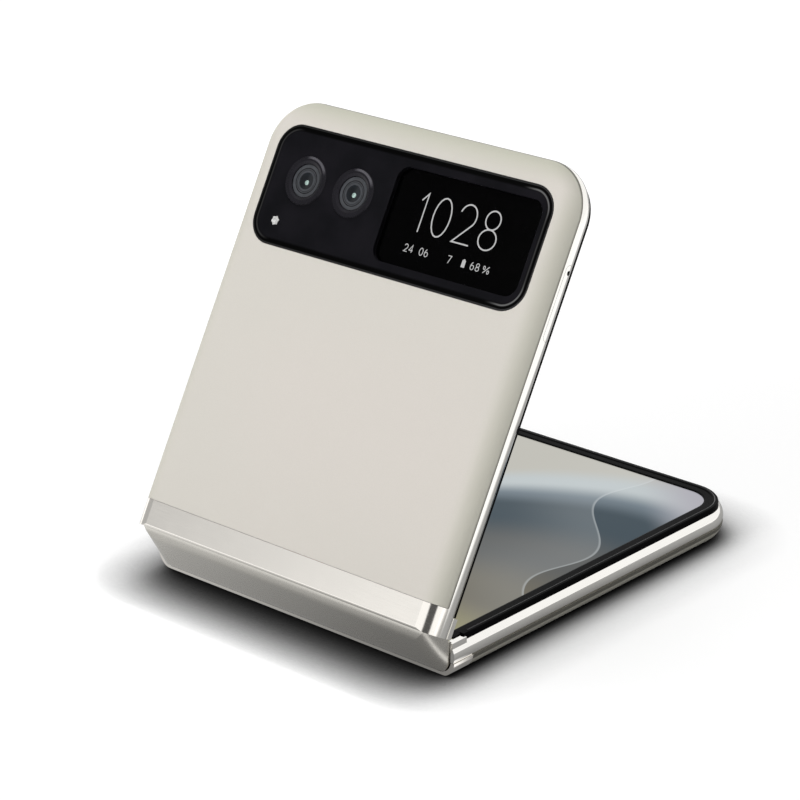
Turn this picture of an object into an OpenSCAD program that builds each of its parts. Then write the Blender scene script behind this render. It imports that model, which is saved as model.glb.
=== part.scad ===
// A folding smartphone standing half open on its lower half.
// Millimetres. X runs along the hinge, the lower half lies on Z = 0 and reaches toward +Y,
// and the upper half leans back over it with its cover toward -Y.
// Each half is drawn in its own frame: X along the hinge, Y away from the hinge axis,
// Z from the rim (0) to the outer cover (half_thick).

/* [Overall size] */
// Width along the hinge
body_width = 73.95; // [70:0.05:80]
// Length of the phone laid open flat
open_length = 170.83; // [160:0.01:180]
// Thickness of the closed phone
closed_thick = 15.8; // [15:0.1:17]
// Distance between the two hinge axes
axis_gap = 2; // [1.8:0.1:2.4]
// Opening angle that the phone is drawn at
rest_angle = 60.6; // [40:0.1:80]
// Outline radius of the far corners
corner = 9.5; // [8:0.5:12]
// How far each half reaches past its own hinge axis
end_reach = 0.8; // [0.5:0.1:0.9]

/* [Housing] */
// Radius that rolls the cover down to the side
roll = 3.5; // [2.5:0.1:4]
// Depth of the seam between frame and cover
seam_depth = 3.8; // [3.4:0.1:4.4]
// Wall of the cover skin and the metal strip
skin = 0.8; // [0.6:0.1:1.2]
// Depth at which the outer edge of the frame starts
frame_edge = 0.6; // [0.56:0.01:0.8]
// Wall of the side frame
frame_wall = 1.75; // [1.2:0.05:2.2]
// Length of the metal strip past the hinge axis
strip_len = 4.4; // [3:0.1:8]
// Parting gap between housing pieces
part_gap = 0.06; // [0.04:0.01:0.12]
// Wall of the frame's ears beside the hinge cover
ear_wall = 0.9; // [0.7:0.05:1.2]

/* [Inner display] */
// Width of the border beside the visible display
border = 3.775; // [3:0.005:5]
// Thickness of the flexible panel
panel_thick = 0.4; // [0.3:0.05:0.6]
// Height of the bezel ring over the panel
bezel_rise = 0.45; // [0.2:0.05:0.6]
// Depth of the crease at the middle of the fold
crease = 0.15; // [0.05:0.05:0.3]
// Thickness of the steel plate behind the panel
plate_thick = 0.15; // [0.1:0.05:0.3]
// Where the flat panels end and the bending piece starts
fold_start = 3; // [2:0.5:8]

/* [Hinge] */
// Half width of the hinge cover across the fold
spine_half = 6.5; // [5.5:0.1:6.6]
// Depth of the hinge cover below the axes
spine_depth = 4.65; // [4.2:0.05:5]
// Corner radius of the hinge cover's section
spine_round = 3.3; // [2.5:0.1:3.4]
// Radius of the hinge cover's ends
spine_end_round = 3.8; // [3:0.1:4]
// Wall of the hinge cover
spine_wall = 0.5; // [0.4:0.05:0.8]
// Tooth module of the timing gears
tooth_module = 0.2; // [0.15:0.05:0.25]
// Teeth in a full ring of the arc rack
ring_teeth = 35; // [33:2:37]
// Teeth on each outer pinion
pinion_teeth = 9; // [9:1:9]
// Teeth on each idler
idler_teeth = 7; // [7:1:7]
// Direction of the outer pinion from the hinge axis, off straight down
pinion_tilt = 30; // [25:1:35]
// Width of each arc rack along the hinge
rack_width = 2.8; // [2:0.1:4]
// Start of each hinge module from the side of the phone
module_in = 21.975; // [20.5:0.005:23]

/* [Outer window] */
// Left edge of the outer glass from the side
window_left_in = 4.225; // [3:0.005:7]
// Right edge of the outer glass from the side
window_right_in = 3.775; // [3:0.005:7]
// Far edge of the outer glass from the far end
window_far_in = 5.115; // [4.5:0.005:9]
// Depth of the outer glass toward the hinge
window_deep = 23.2; // [21:0.1:27]
// Corner radius of the outer glass
window_corner = 5; // [3:0.5:8]
// Distance of both lenses from the far edge of the outer glass
lens_in = 10; // [7:0.1:13]
// Centre of the main lens from the left edge of the outer glass
lens_main_in = 9.55; // [7:0.05:12]
// Distance between the two lenses
lens_pitch = 11.8; // [10.5:0.1:13]
// Outer radius of a lens ring
lens_ring_r = 4.75; // [4:0.05:6]
// Radius of a lens glass
lens_glass_r = 2.9; // [2:0.1:4]
// How far the lens rings stand out of the glass
lens_proud = 0.35; // [0.1:0.05:1]

/* [Buttons and tray] */
// Middle of the volume bar from the far end
volume_in = 24.415; // [20:0.005:30]
// Length of the volume bar
volume_len = 17; // [12:0.5:20]
// Middle of the power and fingerprint key from the far end
power_in = 44.415; // [40:0.005:50]
// Length of the power and fingerprint key
power_len = 12; // [8:0.5:14]
// Height of the keys
key_high = 1.9; // [1.4:0.1:2.4]
// How far the keys stand out of the frame
key_proud = 0.35; // [0.1:0.05:0.6]
// Middle of the card tray from the far end
tray_far_in = 23.915; // [20:0.005:30]
// Length of the card tray's face
tray_len = 14; // [12:0.5:18]
// Height of the card tray's face
tray_high = 1.9; // [1.4:0.1:2.4]

/* [Hidden] */
$fn = 64;
hw = body_width / 2;
half_thick = (closed_thick - axis_gap) / 2;
reach = (open_length - axis_gap) / 2;
half_rest = rest_angle / 2;
cx = hw - corner;
cy = reach - corner;
band_mid = 2.15;
plate_depth = panel_thick + plate_thick;
shelf_top = 0.65;
shelf_low = 1.35;
inner_top = half_thick - skin;
inner_half = hw - frame_wall;
inner_far = reach - frame_wall;
view_half = hw - border;
module_start = hw - module_in;
window_left = window_left_in - hw;
window_right = hw - window_right_in;
window_far = reach - window_far_in;
window_near = window_far - window_deep;
lens_far = window_far - lens_in;
lens_main_x = window_left + lens_main_in;
lens_wide_x = lens_main_x + lens_pitch;
volume_mid = reach - volume_in;
power_mid = reach - power_in;
tray_mid = reach - tray_far_in;
bar_start = 6.3;
bar_end = 14.5;
ear_half = hw - ear_wall;
cavity_floor = spine_depth - spine_wall;
wall_top = 0.65;
notch_top = 1.3;
ring_r = tooth_module * ring_teeth / 2;
pinion_r = tooth_module * pinion_teeth / 2;
idler_r = tooth_module * idler_teeth / 2;
pinion_v = -(ring_r - pinion_r) * cos(pinion_tilt);
pinion_u = axis_gap / 2 + (ring_r - pinion_r) * sin(pinion_tilt);
tooth_out = 0.14;
tooth_in = 0.17;
rack_outer = ring_r + 0.55;
rack_root = ring_r + 0.18;
contact_rest = 180 - pinion_tilt - half_rest;
contact_open = 90 - pinion_tilt;
contact_closed = 180 - pinion_tilt;
rack_overrun = 8;
lower_rack_x = 0;
upper_rack_x = 7.2;
block_lo = -6;
block_hi = 16;
flange = 2.5;
stub_r = 0.3;
shaft_r = 0.4;
running = 0.06;
screw_r = 0.5;
head_r = 0.95;
metal = [0.86, 0.84, 0.78];
cream = [0.83, 0.82, 0.77];
black = [0.05, 0.05, 0.06];
steel = [0.6, 0.6, 0.62];
boardc = [0.1, 0.25, 0.17];

// Placing of the three frames
module in_lower() translate([0, 0, half_thick]) mirror([0, 0, 1]) children();

module in_upper()
    translate([0, -axis_gap * sin(half_rest), half_thick + axis_gap * cos(half_rest)])
        rotate([rest_angle, 0, 0]) children();

// In the hinge frame Y points to the display side and Z toward the upper half
module in_spine()
    translate([0, -axis_gap / 2 * sin(half_rest), half_thick + axis_gap / 2 * cos(half_rest)])
        rotate([half_rest, 0, 0]) children();

// A profile drawn as (y, z), extruded along X
module along_x(x0, len) translate([x0, 0, 0]) rotate([90, 0, 90]) linear_extrude(len) children();

// A profile drawn as (x, z), extruded along Y
module along_y(y0, len) translate([0, y0 + len, 0]) rotate([90, 0, 0]) linear_extrude(len) children();

module box(x0, x1, y0, y1, z0, z1) translate([x0, y0, z0]) cube([x1 - x0, y1 - y0, z1 - z0]);

// A plate outline with round corners
module round_rect(x0, x1, y0, y1, r) {
    translate([x0 + r, y0]) square([x1 - x0 - 2 * r, y1 - y0]);
    translate([x0, y0 + r]) square([x1 - x0, y1 - y0 - 2 * r]);
    for (x = [x0 + r, x1 - r], y = [y0 + r, y1 - r]) translate([x, y]) circle(r);
}

module slab(x0, x1, y0, y1, r, z0, z1)
    translate([0, 0, z0]) linear_extrude(z1 - z0) round_rect(x0, x1, y0, y1, r);

// A section drawn as (distance from the corner centre, depth), carried round the three outer
// sides of a half from y0 at the hinge
module round_three_sides(y0) {
    for (side = [0, 1]) mirror([side, 0, 0]) {
        translate([cx, cy, 0]) rotate_extrude(angle = 90) children();
        along_y(y0, cy - y0) translate([cx, 0]) children();
    }
    along_x(-cx, 2 * cx) translate([cy, 0]) children();
}

// Outline of a half, square at the hinge and round at the far corners
module half_outline(y0, inset) {
    translate([-hw + inset, y0]) square([body_width - 2 * inset, cy - y0]);
    translate([-cx, y0]) square([2 * cx, reach - inset - y0]);
    for (x = [-cx, cx]) translate([x, cy]) circle(corner - inset);
}

module half_prism(y0, inset, z0, z1)
    translate([0, 0, z0]) linear_extrude(z1 - z0) half_outline(y0, inset);

// The rolled body between the seam and the outer cover, inset all over by t
module rolled_section(t) {
    translate([0, seam_depth]) square([corner - roll, half_thick - t - seam_depth]);
    intersection() {
        translate([corner - roll, half_thick - roll]) circle(roll - t);
        translate([0, seam_depth]) square([corner, half_thick]);
    }
}

module rolled_body(y0, t) {
    round_three_sides(y0) rolled_section(t);
    box(-cx, cx, y0, cy, seam_depth, half_thick - t);
}

// A screw driven down toward the cover or up toward the rim
module screw(depth_head, depth_tip) {
    down = depth_tip > depth_head ? 1 : -1;
    translate([0, 0, depth_head]) mirror([0, 0, down > 0 ? 0 : 1]) difference() {
        union() {
            cylinder(r = head_r, h = 0.5);
            cylinder(r = screw_r - 0.04, h = abs(depth_tip - depth_head));
        }
        translate([0, 0, -0.1]) {
            box(-0.55, 0.55, -0.12, 0.12, 0, 0.35);
            box(-0.12, 0.12, -0.55, 0.55, 0, 0.35);
        }
    }
}

// Side frame and inner shelf shared by both halves
board_thick = 0.8;
lower_board_depth = 2.6;
upper_board_depth = 3.5;
post_r = 1.6;
board_half = inner_half - 0.625;
battery_half = inner_half - 4.725;
post_x = board_half - post_r;
lower_board_y = reach - 25.415;
lower_arm_y = lower_board_y - 16;
upper_board_y = reach - 35.415;
upper_arm_y = reach - 9.815;
lower_posts = [for (y = [lower_board_y + 3, lower_arm_y + 2], x = [-post_x, post_x]) [x, y]];
upper_posts = [[-post_x, upper_arm_y + 0.4], [post_x, upper_arm_y + 0.4], [6, upper_board_y + 1.5],
    [post_x, upper_board_y + 1.5]];
bracket_screws = [2, 5, 9];

// The outer side is an arc that leans in to the rim and a little to the seam
rim_in = 0.8;
side_mid = 2.6;
side_r = (rim_in * rim_in + pow(side_mid - frame_edge, 2)) / (2 * rim_in);

module frame_section(wall) intersection() {
    translate([corner - wall, frame_edge]) square([wall + 1, seam_depth - part_gap - frame_edge]);
    translate([corner - side_r, side_mid]) circle(side_r);
}

module frame_ring() {
    difference() {
        round_three_sides(3) frame_section(frame_wall);
        box(-ear_half, ear_half, 2, bar_start + 0.1, 0, seam_depth + 1);
    }
    for (side = [0, 1]) mirror([side, 0, 0]) along_y(-end_reach, 3 + end_reach) translate([cx, 0])
        intersection() {
            union() {
                frame_section(ear_wall);
                translate([corner - ear_wall, -0.1]) square([ear_wall - 0.4, 1.1]);
            }
            translate([corner - ear_wall, -1]) square([ear_wall, 6]);
        }
    difference() {
        half_prism(bar_end - 1, frame_wall - 0.1, shelf_top, shelf_low);
        box(-hw, hw, 0, bar_end - 1, 0, shelf_low + 1);
    }
    box(-inner_half - 0.1, inner_half + 0.1, bar_start, bar_end, shelf_low + 0.25, 3);
    box(-inner_half - 0.1, inner_half + 0.1, bar_end - 1, bar_end, shelf_top, 3);
    for (side = [0, 1]) mirror([side, 0, 0]) box(inner_half, hw - rim_in, -0.4, 3, -0.1, 0.3);
}

module flex_notch() box(-flex_half - 0.5, flex_half + 0.5, bar_start - 1, bar_end + 0.5, 0, flex_depth + 0.25);

module frame_posts(posts, top)
    for (p = posts) translate([p[0], p[1], shelf_low - 0.1]) difference() {
        cylinder(r = post_r, h = top - shelf_low + 0.1);
        translate([0, 0, 0.4]) cylinder(r = screw_r, h = 4);
    }

module bracket_holes()
    for (side = [0, 1], s = bracket_screws) mirror([side, 0, 0])
        translate([module_start + s, 10, 0]) cylinder(r = screw_r, h = 2.6);

// Antenna breaks in the far side of a frame
band_x = 22;
band_w = 1.1;

module band_blocks(grow)
    for (side = [0, 1]) mirror([side, 0, 0])
        box(band_x - grow, band_x + band_w + grow, reach - frame_wall - 0.2, reach + grow * 10,
            frame_edge - grow, seam_depth - part_gap + grow);

module band_pieces() intersection() {
    along_x(-cx, 2 * cx) translate([cy, 0]) frame_section(frame_wall);
    band_blocks(-0.01);
}

// Lower half, with the ports at its far end
usb_half = 4.3;
usb_high = 2.56;
usb_start = reach - 9.315;
speaker_holes = [13, 15.6, 18.2, 20.8];
speaker_start = reach - 19.415;
speaker_end = board_half - 4.6;
mic_x = -12;

module lower_frame() color(metal) in_lower() difference() {
    union() {
        frame_ring();
        frame_posts(lower_posts, lower_board_depth);
    }
    band_blocks(0);
    flex_notch();
    bracket_holes();
    along_y(reach - 9, 12) round_rect(-usb_half, usb_half, band_mid - usb_high / 2,
        band_mid + usb_high / 2, usb_high / 2 - 0.01);
    box(-5.2, 5.2, usb_start - 0.2, inner_far - 0.05, 0, 4);
    for (x = speaker_holes) translate([x, reach - 4, band_mid]) rotate([-90, 0, 0])
        cylinder(r = 0.6, h = 6);
    translate([mic_x, reach - 4, band_mid]) rotate([-90, 0, 0]) cylinder(r = 0.5, h = 6);
}

module lower_bands() color([0.75, 0.74, 0.7]) in_lower() band_pieces();

module cover_skin() difference() {
    rolled_body(strip_len, 0);
    rolled_body(strip_len - 1, skin);
}

module strip_skin() {
    difference() {
        rolled_body(-end_reach, 0);
        rolled_body(-end_reach - 1, skin);
        box(-hw - 1, hw + 1, strip_len - part_gap, reach + 1, 0, half_thick + 1);
        along_x(-hw - 1, body_width + 2) difference() {
            translate([-end_reach - 1, half_thick - 0.5]) square([1.5, 1.5]);
            translate([-end_reach + 0.5, half_thick - 0.5]) circle(0.5);
        }
    }
}

module lower_cover() color(cream) in_lower() cover_skin();

module lower_strip() color(metal) in_lower() strip_skin();

// The raised ring over the display's edge: a ridge line, a flat lip and an outer chamfer
bezel_top = -bezel_rise;
module bezel_section() {
    view = view_half - cx;
    polygon([[view, -0.02], [view, bezel_top + 0.25], [view + 0.3, bezel_top + 0.15],
        [view + 1.6, bezel_top + 0.12], [view + 1.75, bezel_top], [view + 2.6, bezel_top],
        [corner - rim_in - 0.2, bezel_top + 0.2], [corner - rim_in - 0.1, frame_edge - 0.02],
        [view + 2.2, frame_edge - 0.02], [view + 2.2, -0.02]]);
}

module bezel() {
    difference() {
        round_three_sides(3 + part_gap) bezel_section();
        children();
    }
    for (side = [0, 1]) mirror([side, 0, 0])
        box(view_half, inner_half - 0.06, 0.9, 3 + part_gap, -0.3, -0.02);
}

module lower_bezel() color(black) in_lower() bezel();

// The flexible display: two flat stretches and the bend between them
panel_half = view_half + 2;

module flat_panel(y0) difference() {
    half_prism(y0, hw - panel_half, 0, panel_thick);
    children();
}

module lower_panel() color([0.55, 0.57, 0.6]) in_lower() flat_panel(fold_start);

module backing_plate() difference() {
    half_prism(1.2, hw - panel_half + 0.3, panel_thick, plate_depth);
    children();
}

module lower_plate() color(steel) in_lower() backing_plate()
    box(-5.2, 5.2, usb_start - 0.2, reach, 0, 4);

// The arc rack that turns about the hinge axis, on the bracket screwed to a half's frame
module rack_tooth() polygon([[ring_r + 0.25, -0.19], [ring_r - tooth_out, -0.09],
    [ring_r - tooth_out, 0.09], [ring_r + 0.25, 0.19]]);

rack_pitch = 360 / ring_teeth;
rack_first = contact_open - rack_overrun;
rack_last = contact_closed + rack_overrun;
neck_angle = asin(shelf_top / rack_outer);

module rack_section(phase) {
    intersection() {
        difference() {
            circle(rack_outer);
            circle(rack_root);
        }
        polygon([[0, 0], for (t = [neck_angle : (rack_last - neck_angle) / 6 : rack_last + 0.01])
            6 * [cos(t), sin(t)]]);
    }
    for (k = [-6 : 6]) {
        t = contact_rest + (k + phase) * rack_pitch;
        if (t > rack_first && t < rack_last - 2) rotate(t) rack_tooth();
    }
}

module bracket(phase, rack_x) {
    for (side = [0, 1]) mirror([side, 0, 0]) translate([module_start, 0, 0]) difference() {
        union() {
            along_x(rack_x, rack_width) {
                rack_section(phase);
                translate([rack_outer - 0.3, shelf_top]) square([bar_start - rack_outer + 1, 0.55]);
            }
            box(-1, 11, bar_start + 0.1, bar_end - 1.1, shelf_top, shelf_low + 0.2);
        }
        for (s = bracket_screws) translate([s, 10, 0]) {
            cylinder(r = screw_r, h = 4);
            cylinder(r = head_r + 0.05, h = shelf_top + 0.55);
        }
    }
}

module lower_bracket() color(steel) in_lower() bracket(0.5, lower_rack_x);

module bracket_screw_set()
    for (side = [0, 1], s = bracket_screws) mirror([side, 0, 0])
        translate([module_start + s, 10, 0]) screw(shelf_top + 0.05, 2.5);

module post_screw_set(posts, top)
    for (p = posts) translate([p[0], p[1], 0]) screw(top + board_thick + 0.5, top - 0.6);

battery_top = 5.7;
module battery(end) slab(-battery_half, battery_half, bar_end + 1.5, end, 1.5, shelf_low + 0.1, battery_top);

module lower_battery() color([0.13, 0.13, 0.14]) in_lower() battery(lower_board_y - 2);

// A board lies on the frame's posts and is drawn from its own depth down
module board(depth, posts) translate([0, 0, depth]) linear_extrude(board_thick) difference() {
    union() children();
    for (p = posts) translate(p) circle(screw_r);
}

module lower_board() color(boardc) in_lower() difference() {
    board(lower_board_depth, lower_posts) {
        round_rect(-board_half, board_half, lower_board_y, usb_start - 0.1, 1);
        for (x = [-board_half, board_half - 3.7]) translate([x, lower_arm_y]) square([3.7, 19]);
        for (x = [-7, 4.6]) translate([x, usb_start - 1.1]) square([2.4, 7]);
    }
    box(8.9, speaker_end + 0.1, speaker_start - 0.1, reach, 0, 6);
    box(-battery_half - 0.1, -battery_half + 11.1, speaker_start - 0.1, reach, 0, 6);
}

// The charging socket: a rolled metal shell round a contact tongue
module usb_socket() color(steel) in_lower() {
    difference() {
        along_y(usb_start, inner_far - 0.1 - usb_start)
            round_rect(-4.47, 4.47, band_mid - 1.58, band_mid + 1.58, 1.55);
        along_y(usb_start + 1.9, 10) round_rect(-4.17, 4.17, band_mid - 1.28, band_mid + 1.28, 1.25);
    }
    box(-3.35, 3.35, usb_start + 1.4, usb_start + 6.5, band_mid - 0.35, band_mid + 0.35);
}

module loudspeaker() color([0.08, 0.08, 0.09]) in_lower() difference() {
    slab(9, speaker_end, speaker_start, inner_far - 0.465, 2, shelf_low + 0.1, battery_top);
    for (x = speaker_holes) translate([x, inner_far - 2.5, band_mid]) rotate([-90, 0, 0])
        cylinder(r = 0.6, h = 4);
}

module vibration_motor() color(steel) in_lower()
    slab(-battery_half, -battery_half + 11, speaker_start, speaker_start + 9, 2, shelf_low + 0.1, 5);

module lower_microphone() color([0.7, 0.65, 0.4]) in_lower() difference() {
    box(mic_x - 1.6, mic_x + 1.6, usb_start + 1.4, inner_far - 0.165, shelf_low + 0.1, 2.9);
    translate([mic_x, inner_far - 1.5, band_mid]) rotate([-90, 0, 0]) cylinder(r = 0.4, h = 4);
}

module lower_screws() color(steel) in_lower() {
    bracket_screw_set();
    post_screw_set(lower_posts, lower_board_depth);
}

// Hinge cover: a trough with round corners that both halves turn over
module spine_solid(t, top) {
    end = ear_half - 0.1 - t;
    deep = spine_depth - t;
    wide = spine_half - t;
    r = spine_round - t;
    intersection() {
        along_x(-end, 2 * end) round_rect_v(deep, wide, r);
        along_z(-wide - 1, 2 * wide + 2) round_rect(-end, end, -deep, deep, spine_end_round - t);
        along_y(-deep - 1, deep + 2) round_rect(-end, end, -wide, wide, spine_end_round - t);
        box(-hw, hw, -deep - 1, top, -wide - 1, wide + 1);
    }
}

// A section deep below the axes and wide to both sides, with its two lower corners round
module round_rect_v(deep, wide, r) {
    translate([-deep, -wide + r]) square([deep + 1, 2 * (wide - r)]);
    translate([-deep + r, -wide]) square([deep - r + 1, 2 * wide]);
    for (side = [-1, 1]) translate([-deep + r, side * (wide - r)]) circle(r);
}

module along_z(z0, len) translate([0, 0, z0]) linear_extrude(len) children();

module rack_notches()
    for (side = [0, 1]) mirror([side, 0, 0]) translate([module_start, 0, 0]) {
        box(lower_rack_x - 0.15, lower_rack_x + rack_width + 0.15, -notch_top, 1, -8, -3);
        box(upper_rack_x - 0.15, upper_rack_x + rack_width + 0.15, -notch_top, 1, 3, 8);
    }

flange_x = [block_lo - flange / 2, block_hi + flange / 2];

module spine() color(metal) in_spine() difference() {
    union() {
        difference() {
            spine_solid(0, -wall_top);
            spine_solid(spine_wall, 0.5);
        }
        for (side = [0, 1], s = flange_x) mirror([side, 0, 0])
            translate([module_start + s, -cavity_floor - 0.2, 0]) rotate([-90, 0, 0]) cylinder(r = 1.1, h = 1.2);
    }
    rack_notches();
    for (side = [0, 1], s = flange_x) mirror([side, 0, 0])
        translate([module_start + s, -cavity_floor, 0]) rotate([-90, 0, 0]) cylinder(r = screw_r, h = 3);
}

// Gears of the timing train, each with a stub axle at both ends
module gear_section(teeth, r) {
    circle(r - tooth_in);
    for (k = [0 : teeth - 1]) rotate(90 + k * 360 / teeth)
        polygon([[r - tooth_in - 0.12, -0.19], [r + tooth_out, -0.085],
            [r + tooth_out, 0.085], [r - tooth_in - 0.12, 0.19]]);
}

module gear(teeth, r, x0, x1, axle0, axle1, axle_r)
    for (side = [0, 1]) mirror([side, 0, 0]) translate([module_start, 0, 0]) {
        along_x(x0, x1 - x0) gear_section(teeth, r);
        along_x(axle0, axle1 - axle0) circle(axle_r);
    }

lower_pinion_x = [lower_rack_x + 0.1, lower_rack_x + rack_width - 0.1];
upper_pinion_x = [upper_rack_x + 0.1, upper_rack_x + rack_width - 0.1];
lower_idler_x = [0.1, 6.4];
upper_idler_x = [3.6, 9.9];
idler_u = idler_r;

module lower_pinion() color([0.75, 0.7, 0.55]) in_spine() translate([0, pinion_v, -pinion_u])
    gear(pinion_teeth, pinion_r, lower_pinion_x[0], lower_pinion_x[1], -5.2, 3.4, shaft_r);

module upper_pinion() color([0.75, 0.7, 0.55]) in_spine() translate([0, pinion_v, pinion_u])
    gear(pinion_teeth, pinion_r, upper_pinion_x[0], upper_pinion_x[1], 6.6, 15.2, shaft_r);

module lower_idler() color([0.7, 0.65, 0.5]) in_spine() translate([0, pinion_v, -idler_u])
    gear(idler_teeth, idler_r, lower_idler_x[0], lower_idler_x[1], -0.6, 6.9, stub_r);

module upper_idler() color([0.7, 0.65, 0.5]) in_spine() translate([0, pinion_v, idler_u])
    gear(idler_teeth, idler_r, upper_idler_x[0], upper_idler_x[1], 3.1, 10.6, stub_r);

// The die-cast block that carries the gears, one in each hinge module
clip_x = [[-4.6, -2.2], [12.2, 14.6]];
clip_r = 1;

module block_section() {
    wide = spine_half - spine_wall - 0.1;
    deep = cavity_floor - 0.03;
    r = spine_round - spine_wall;
    intersection() {
        round_rect_v(deep, wide, r);
        translate([-deep, -wide]) square([deep - notch_top - 0.02, 2 * wide]);
    }
}

module hinge_base() color([0.45, 0.45, 0.47]) in_spine()
    for (side = [0, 1]) mirror([side, 0, 0]) translate([module_start, 0, 0]) difference() {
        union() {
            along_x(block_lo, block_hi - block_lo) block_section();
            box(block_lo - flange, block_hi + flange, -3.1, -2.3, -1.6, 1.6);
        }
        along_x(lower_rack_x - 0.1, rack_width + 0.2) translate([0, -axis_gap / 2]) circle(rack_outer + 0.1);
        along_x(upper_rack_x - 0.1, rack_width + 0.2) translate([0, axis_gap / 2]) circle(rack_outer + 0.1);
        translate([0, pinion_v, 0]) {
            along_x(0, 6.5) translate([0, -idler_u]) circle(idler_r + tooth_out + 0.12);
            along_x(3.5, 6.5) translate([0, idler_u]) circle(idler_r + tooth_out + 0.12);
            along_x(-0.7, 7.7) translate([0, -idler_u]) circle(stub_r + running);
            along_x(3, 7.7) translate([0, idler_u]) circle(stub_r + running);
            along_x(-5.3, 8.8) translate([0, -pinion_u]) circle(shaft_r + running);
            along_x(6.5, 8.8) translate([0, pinion_u]) circle(shaft_r + running);
            along_x(clip_x[0][0] - 0.1, 2.6) translate([0, -pinion_u]) {
                circle(clip_r + 0.1);
                translate([0, -0.3]) square([2, 0.6]);
            }
            along_x(clip_x[1][0] - 0.1, 2.6) translate([0, pinion_u]) {
                circle(clip_r + 0.1);
                translate([0, -0.3]) square([2, 0.6]);
            }
        }
        for (s = flange_x) translate([s, -5, 0]) rotate([-90, 0, 0]) cylinder(r = screw_r, h = 6);
    }

// Spring clips that squeeze the pinion shafts and hold the fold where it is put
module clip_section() {
    difference() {
        circle(clip_r);
        circle(shaft_r + 0.02);
        rotate(200) square([2, 0.5]);
    }
    difference() {
        translate([0, -0.24]) square([1.15, 0.48]);
        circle(shaft_r + 0.3);
    }
}

module torque_clips() color([0.3, 0.3, 0.33]) in_spine()
    for (side = [0, 1]) mirror([side, 0, 0]) translate([module_start, pinion_v, 0]) {
        along_x(clip_x[0][0], 2.4) translate([0, -pinion_u]) clip_section();
        along_x(clip_x[1][0], 2.4) translate([0, pinion_u]) clip_section();
    }

module spine_screws() color(steel) in_spine()
    for (side = [0, 1], s = flange_x) mirror([side, 0, 0])
        translate([module_start + s, -1.8, 0]) rotate([90, 0, 0]) screw(0, 2.1);

// The narrow plate on the hinge that backs the crease, on four feet
rest_top = crease + panel_thick;
rest_half = 1.9;

module fold_rest() color(steel) in_spine() {
    box(-ear_half + 2.575, ear_half - 2.575, -rest_top - 0.3, -rest_top, -rest_half, rest_half);
    for (side = [0, 1], s = [-5.4, 11.4]) mirror([side, 0, 0])
        box(module_start + s, module_start + s + 4, -notch_top, -rest_top - 0.28, -1.5, 1.5);
}

// The bend of the display, a round arc that meets both flat stretches
apex_v = -axis_gap / 2 / tan(half_rest);
bend_r = (-crease - apex_v) / (1 / sin(half_rest) - 1);
bend_v = bend_r - crease;

function arc(r, from, to) = [for (i = [0 : 12]) let (t = from + (to - from) * i / 12)
    [bend_v, 0] + r * [cos(t), sin(t)]];
function across(p) = [p[0], -p[1]];
fold_end = fold_start - 0.02;
fold_out = 90 + half_rest;

module fold_panel() color([0.5, 0.52, 0.5]) in_spine() along_x(-panel_half, 2 * panel_half)
    polygon(concat([in_hinge(fold_end, 0)], arc(bend_r, fold_out, 360 - fold_out),
        [across(in_hinge(fold_end, 0)), across(in_hinge(fold_end, panel_thick))],
        arc(bend_r + panel_thick, 360 - fold_out, fold_out), [in_hinge(fold_end, panel_thick)]));

// The ribbon cable from half to half, looping through the hinge cover under the display
flex_half = module_start - 10;
flex_thick = 0.12;
flex_depth = 0.95;
function in_hinge(y, z) = [y * cos(half_rest) - z * sin(half_rest),
    axis_gap / 2 + y * sin(half_rest) + z * cos(half_rest)];
flex_from = in_hinge(2.6, flex_depth);
flex_lead = flex_from - 2.4 * [cos(half_rest), sin(half_rest)];
flex_low = [-3.6, 3];
flex_floor = [-3.6, 1.2];
function bend_at(t) = pow(1 - t, 3) * flex_from + 3 * pow(1 - t, 2) * t * flex_lead
    + 3 * (1 - t) * t * t * flex_low + t * t * t * flex_floor;
function unit(v) = v / norm(v);
flex_steps = 10;
flex_side = [in_hinge(bar_end, flex_depth), for (i = [0 : flex_steps]) bend_at(i / flex_steps)];
flex_path = concat(flex_side, [for (i = [len(flex_side) - 1 : -1 : 0]) [flex_side[i][0], -flex_side[i][1]]]);
function flex_normal(i) = let (a = flex_path[max(i - 1, 0)], b = flex_path[min(i + 1, len(flex_path) - 1)],
    t = unit(b - a)) [-t[1], t[0]];
function flex_edge(side) = [for (i = [0 : len(flex_path) - 1])
    flex_path[i] + side * flex_thick / 2 * flex_normal(i)];

module hinge_flex() color([0.75, 0.5, 0.2]) in_spine() along_x(-flex_half, 2 * flex_half)
    polygon(concat(flex_edge(1), [for (i = [len(flex_path) - 1 : -1 : 0]) flex_edge(-1)[i]]));

// Upper half
front_camera_y = reach - 8.415;
ear_piece_y = reach - 4.715;
front_hole_r = 1.9;
ear_slot = reach - 1.65;

module upper_frame() color(metal) in_upper() difference() {
    union() {
        frame_ring();
        frame_posts(upper_posts, upper_board_depth);
    }
    band_blocks(0);
    flex_notch();
    bracket_holes();
    translate([0, front_camera_y, 0]) cylinder(r = 2.9, h = 2);
    key_slots();
    tray_slot();
    box(-6.3, 6.3, ear_piece_y - 0.1, ear_piece_y + 2.6, 0, 2);
    translate([4, reach - 4, band_mid]) rotate([-90, 0, 0]) cylinder(r = 0.5, h = 6);
}

module upper_bands() color([0.75, 0.74, 0.7]) in_upper() band_pieces();

module window_hole(grow, z0, z1) slab(window_left - grow, window_right + grow,
    window_near - grow, window_far + grow, window_corner + grow, z0, z1);

module upper_cover() color(cream) in_upper() difference() {
    cover_skin();
    window_hole(0.05, 5, 8);
}

module upper_strip() color(metal) in_upper() strip_skin();

module upper_bezel() color(black) in_upper() bezel()
    slab(-5, 5, ear_slot - 0.3, ear_slot + 0.3, 0.29, -1, 1);

module upper_panel() color([0.5, 0.52, 0.55]) in_upper() flat_panel(fold_start)
    translate([0, front_camera_y, -1]) cylinder(r = front_hole_r, h = 3);

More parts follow.
